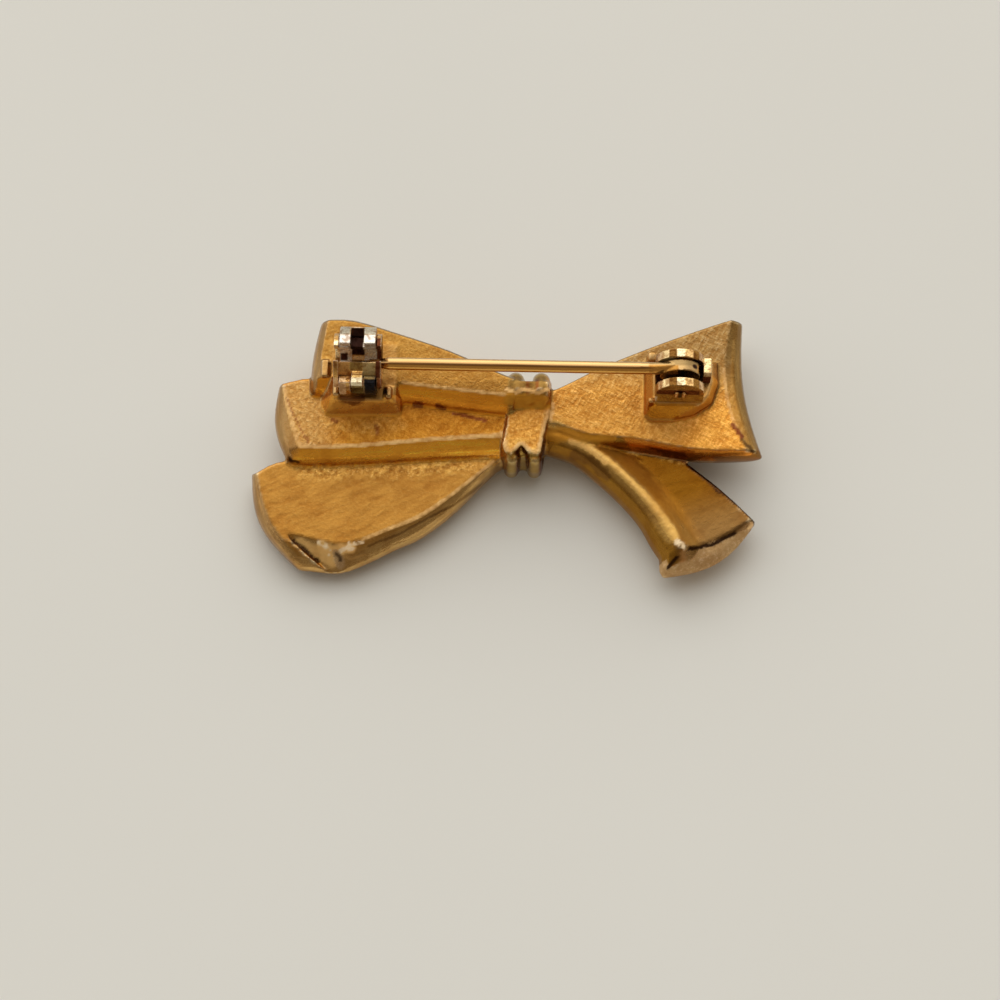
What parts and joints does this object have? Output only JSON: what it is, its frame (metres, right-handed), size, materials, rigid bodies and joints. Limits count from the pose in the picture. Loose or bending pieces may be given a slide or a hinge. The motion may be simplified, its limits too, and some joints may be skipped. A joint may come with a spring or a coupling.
{
  "type": "bow brooch",
  "caption": "Cast metal bow brooch lying face down, with fanned loops, a rolled-edge tail, a ribbed knot and a hinged pin that closes into a roll-over safety catch.",
  "frame": {"origin": "middle of the outline's box, on the surface that the brooch lies on", "axes": "+X along the pin towards its hinge, +Y towards the bow's upper edge, +Z away from the surface, towards the pin"},
  "size_m": [0.0376, 0.0196, 0.0107],
  "materials": {
    "cast_gold": "satin cast and brushed gold tone, worn to silver at the corners",
    "fitting_gold": "polished gold tone, worn silver on the edges",
    "wire_gold": "drawn and polished pale gold tone"
  },
  "bodies": {
    "brooch": {"bow_casting": "cast_gold", "catch_housing": "fitting_gold", "joint_bracket": "fitting_gold", "joint_rivet": "wire_gold"},
    "stem": {"pin_stem": "wire_gold"},
    "rotor": {"catch_rotor": "fitting_gold"}
  },
  "joints": [
    {"name": "stem_hinge", "type": "hinge", "parent": "brooch", "child": "stem", "pos_m": [0.01247, 0.00421, 0.00762], "axis": [0, 1, 0], "range_deg": [0, 95]},
    {"name": "rotor_turn", "type": "hinge", "parent": "brooch", "child": "rotor", "pos_m": [-0.01088, 0.00433, 0.00827], "axis": [-1, 0, 0], "range_deg": [0, 75]}
  ]
}
